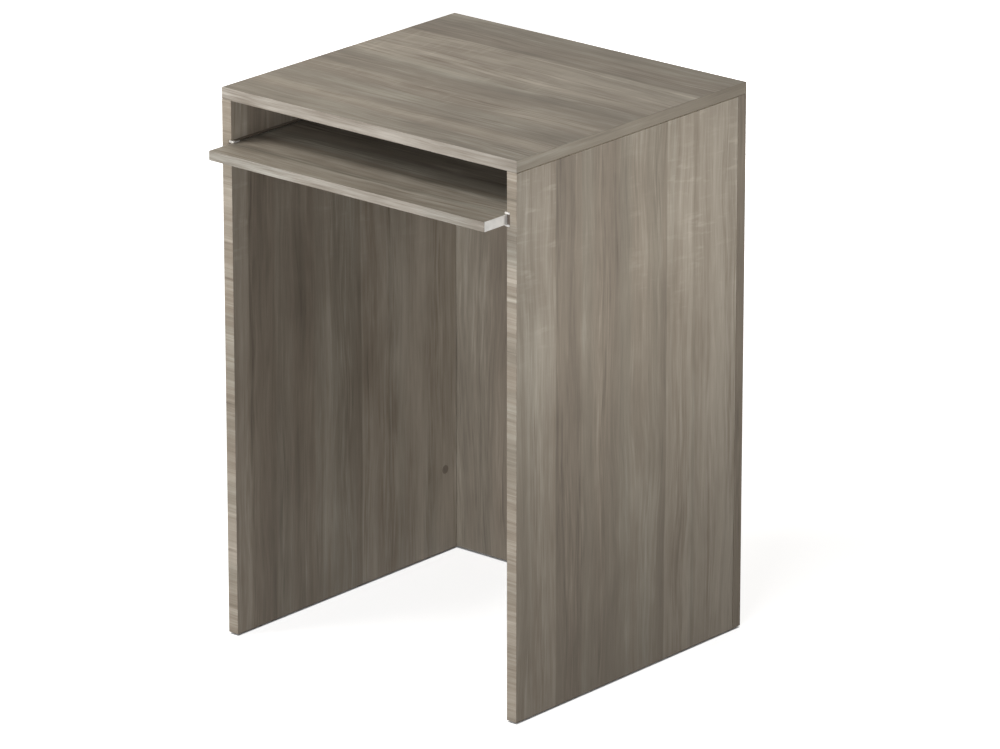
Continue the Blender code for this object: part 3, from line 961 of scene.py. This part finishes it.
# Rollers: nylon wheels with a crowned tread, each turning on a shoulder screw in the shelf's
# rear corner. The screw's head lies in a recess of the wheel's outer face.
tread_crown = 0.00012
tread_round = 0.0008
arc_steps = 6
wheel_bore = 0.0028
head_seat = 0.0017
head_gap = 0.0003
shoulder_head_height = 0.0012
shoulder_head_bevel = 0.0003
shoulder_radius = 0.0025
shoulder_length = 0.0029
thread_radius = 0.0020
for side, sign in sides:
    wheel_low, wheel_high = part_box(f"shelf_roller_{side}")
    axle_low, axle_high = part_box(f"roller_axle_{side}")
    hub = (wheel_low + wheel_high) / 2
    half = (wheel_high.x - wheel_low.x) / 2
    wheel_radius = (wheel_high.z - wheel_low.z) / 2
    head_radius = (axle_high.z - axle_low.z) / 2
    arc = [math.pi / 2 * step / arc_steps for step in range(arc_steps + 1)]
    rounded = [
        (
            half - tread_round * (1 - math.cos(angle)),
            wheel_radius - tread_crown - tread_round * (1 - math.sin(angle)),
        )
        for angle in arc
    ]
    outline = [
        (half, head_radius + head_gap),
        *rounded,
        (0, wheel_radius),
        *((-along, radius) for along, radius in reversed(rounded)),
        (-half, wheel_bore),
        (half - head_seat, wheel_bore),
        (half - head_seat, head_radius + head_gap),
    ]
    shape = turned([(sign * along, radius) for along, radius in outline], ring=True)
    bmesh.ops.recalc_face_normals(shape, faces=shape.faces)
    bmesh.ops.translate(shape, verts=shape.verts, vec=hub)
    wheel = fitted_piece(
        f"nylon_wheel_{side}",
        shape,
        f"roller_{side}",
        f"shelf_roller_{side}",
        "white_nylon",
        nylon,
    )
    wheel.data.shade_smooth()
    wheel.data.set_sharp_from_angle(angle=soft_bend)
    thread_start = -shoulder_head_height - shoulder_length
    screw_end = axle_low.x - axle_high.x
    screw_with_cross(
        f"shoulder_screw_{side}",
        (
            (0, head_radius - shoulder_head_bevel),
            (-shoulder_head_bevel, head_radius),
            (-shoulder_head_height, head_radius),
            (-shoulder_head_height, shoulder_radius),
            (thread_start, shoulder_radius),
            (thread_start, thread_radius),
            (screw_end + thread_radius, thread_radius),
            (screw_end, 0),
        ),
        f"roller_axle_{side}",
        sign,
        "shelf",
    )


# Floor glides: grey moulded discs under the lower edges of the sides, each with its nail.
# Their lower rims are rounded off so that they slide over a hard floor.
glide_grey = (0.24, 0.23, 0.22)
glide_arris = 0.0003
glide_plastic = moulded("glide plastic", glide_grey, roughness=0.5, scale=600.0, relief=0.2)
for side, _ in sides:
    for place in ("front", "rear"):
        eased_piece(
            f"nail_glide_{side}_{place}",
            f"floor_glide_{side}_{place}",
            "cabinet",
            glide_arris,
            block_least_edge,
            "grey_glide",
            glide_plastic,
        )


# Plain white floor and soft studio light from large lamps, with a pale surround. The camera
# sees floor and surround as white paper, and the floor still takes the shadow. Its glow is left
# out straight under the boards, a painted shadow there, and it is palest far from the cabinet.
floor_radius = 60
floor_sides = 64
floor_dark = (0.11, 0.10, 0.085, 1)
floor_pale = (0.85, 0.85, 0.85, 1)
floor_glow_near = 0.70
floor_glow_far = 1.0
glow_start = 1.0
glow_end = 4.0
notch_reach = 0.15
paper_white = (1, 1, 1, 1)
surround_light = (0.155, 0.146, 0.132, 1)
floor_mesh = bpy.data.meshes.new("floor")
floor_shape = bmesh.new()
bmesh.ops.create_circle(
    floor_shape, cap_ends=True, segments=floor_sides, radius=floor_radius
)
floor_shape.to_mesh(floor_mesh)
floor_shape.free()
floor = bpy.data.objects.new("floor", floor_mesh)
bpy.context.scene.collection.objects.link(floor)
floor_paint = bpy.data.materials.new("floor paint")
floor_paint.use_nodes = True
floor_mesh.materials.append(floor_paint)


def seen_by_camera(tree):
    """1 for rays that the camera sees straight, in gloss or through glass, and 0 for the rest."""
    path = add_node(tree, "ShaderNodeLightPath")
    seen = worked(tree, "ADD", path.outputs["Is Camera Ray"], path.outputs["Is Glossy Ray"])
    seen = worked(tree, "ADD", seen, path.outputs["Is Transmission Ray"])
    return worked(tree, "MINIMUM", seen, 1.0)


def within(tree, value, middle, reach):
    """1 where a value lies no further than reach from the middle, and 0 elsewhere."""
    inputs = {0: value, 1: middle, 2: reach}
    return add_node(tree, "ShaderNodeMath", inputs, operation="COMPARE").outputs[0]


floor_tree = floor_paint.node_tree
floor_surface = floor_tree.nodes["Principled BSDF"]
floor_seen = seen_by_camera(floor_tree)
floor_surface.inputs["Emission Color"].default_value = paper_white
floor_place = add_node(floor_tree, "ShaderNodeTexCoord").outputs["Object"]
floor_axes = add_node(floor_tree, "ShaderNodeSeparateXYZ", {0: floor_place}).outputs
side_low, side_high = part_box("side_panel_right")
# Where the boards stand, the floor's glow is left out, which paints a dark shadow under them.
shadow_footprints = (
    (side_low.x, side_high.x, side_low.y, cabinet_rear),
    (notch_reach, side_low.x, back_front, cabinet_rear),
)
offset = worked(floor_tree, "ABSOLUTE", floor_axes[X], 0.0)
shade = worked(
    floor_tree,
    "ADD",
    *(
        worked(
            floor_tree,
            "MULTIPLY",
            within(floor_tree, offset, (inner + outer) / 2, (outer - inner) / 2),
            within(floor_tree, floor_axes[Y], (front + rear) / 2, (rear - front) / 2),
        )
        for inner, outer, front, rear in shadow_footprints
    ),
)
floor_tone = blended(floor_tree, floor_seen, floor_dark, floor_pale)
floor_tree.links.new(floor_tone, floor_surface.inputs["Base Color"])
# The glow is taken away under the boards: a painted shadow.
floor_glow = worked(floor_tree, "SUBTRACT", floor_seen, shade)
distance = add_node(floor_tree, "ShaderNodeVectorMath", {0: floor_place}, operation="LENGTH")
paleness = add_node(
    floor_tree,
    "ShaderNodeMapRange",
    {
        "Value": distance.outputs["Value"],
        "From Min": glow_start,
        "From Max": glow_end,
        "To Min": floor_glow_near,
        "To Max": floor_glow_far,
    },
)
floor_glow = worked(
    floor_tree, "MULTIPLY", worked(floor_tree, "MAXIMUM", floor_glow, 0.0), paleness.outputs[0]
)
floor_tree.links.new(floor_glow, floor_surface.inputs["Emission Strength"])
floor_surface.inputs["Roughness"].default_value = 1.0
floor_surface.inputs["Specular IOR Level"].default_value = 0.0

world = bpy.data.worlds.new("studio")
bpy.context.scene.world = world
world.use_nodes = True
world_tree = world.node_tree
surround = world_tree.nodes["Background"]
surround_tone = blended(world_tree, seen_by_camera(world_tree), surround_light, paper_white)
world_tree.links.new(surround_tone, surround.inputs["Color"])
surround.inputs["Strength"].default_value = 1.0


def softbox(name, place, target, size, power, spread=math.pi):
    """A square lamp that faces a point, with a beam that spreads so wide."""
    lamp = bpy.data.objects.new(name, bpy.data.lights.new(name, "AREA"))
    lamp.data.size = size
    lamp.data.energy = power
    lamp.data.spread = spread
    lamp.visible_camera = False
    lamp.location = place
    aim = Vector(target) - Vector(place)
    lamp.rotation_euler = aim.to_track_quat("-Z", "Y").to_euler()
    bpy.context.scene.collection.objects.link(lamp)
    return lamp


front_light = softbox(
    "front light", place=(1.15, -3.35, 1.2), target=(0, 0, 0.6), size=2.2, power=93
)
front_light.data.color = (0.975, 0.995, 1.045)
top_light = softbox(
    "top light", place=(-1.5, -1.4, 2.45), target=(0, 0, 1.0), size=1.2, power=38
)
top_light.data.color = (1.025, 1.0, 0.96)
rear_light = softbox(
    "rear light", place=(-1.7, 3.3, 1.2), target=(0, 0, 0.6), size=2.2, power=55
)
rear_light.visible_glossy = False
softbox(
    "side light",
    place=(1.35, 0.05, 0.86),
    target=(0.35, 0.05, 0.86),
    size=0.3,
    power=1.85,
    spread=math.radians(100),
)
